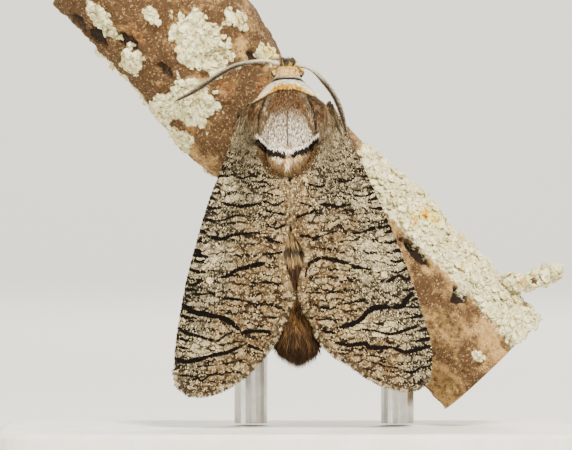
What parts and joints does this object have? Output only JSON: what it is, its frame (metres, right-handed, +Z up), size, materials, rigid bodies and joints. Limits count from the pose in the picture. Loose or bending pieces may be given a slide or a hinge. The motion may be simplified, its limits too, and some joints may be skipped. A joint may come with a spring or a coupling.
{
  "type": "goat moth resting on a cut branch, on a display stand",
  "caption": "Life-size grey-brown moth at rest with folded, bark-patterned wings, head up on a short lichened branch held by rods on a flat base.",
  "frame": {"origin": "middle of the underside of the stand's base", "axes": "+Z up, -Y the way the moth's back faces, +X to the moth's right"},
  "size_m": [0.076, 0.044, 0.0719],
  "materials": {
    "buff_scales": "dull, furry buff and cream scales",
    "grey_scales": "dull, furry grey scales",
    "brown_scales": "dull, furry brown scales",
    "wing_scales": "matt grey-brown scales with fine dark lines, like bark",
    "horn_brown": "dull horn with pale scales",
    "eye_dark": "glossy, nearly black",
    "bark": "rough tan and brown bark with crusts of pale lichen",
    "lichen_twig": "rough twig under pale grey-green lichen",
    "stand_paint": "satin off-white paint",
    "stand_metal": "satin steel"
  },
  "bodies": {
    "root": {"head": "buff_scales", "eye_left": "eye_dark", "eye_right": "eye_dark", "palp_left": "buff_scales", "palp_right": "buff_scales", "antenna_left": "horn_brown", "antenna_right": "horn_brown", "collar": "buff_scales", "thorax": "grey_scales", "tegula_left": "grey_scales", "tegula_right": "grey_scales", "abdomen_front": "brown_scales", "abdomen_middle": "brown_scales", "abdomen_tip": "brown_scales", "forewing_left": "wing_scales", "forewing_right": "wing_scales", "hindwing_left": "grey_scales", "hindwing_right": "grey_scales", "leg_fore_left": "brown_scales", "leg_fore_right": "brown_scales", "leg_middle_left": "brown_scales", "leg_middle_right": "brown_scales", "leg_hind_left": "brown_scales", "leg_hind_right": "brown_scales", "perch_branch": "bark", "perch_twig": "lichen_twig", "stand_base": "stand_paint", "stand_rod_left": "stand_metal", "stand_rod_right": "stand_metal"}
  },
  "joints": []
}
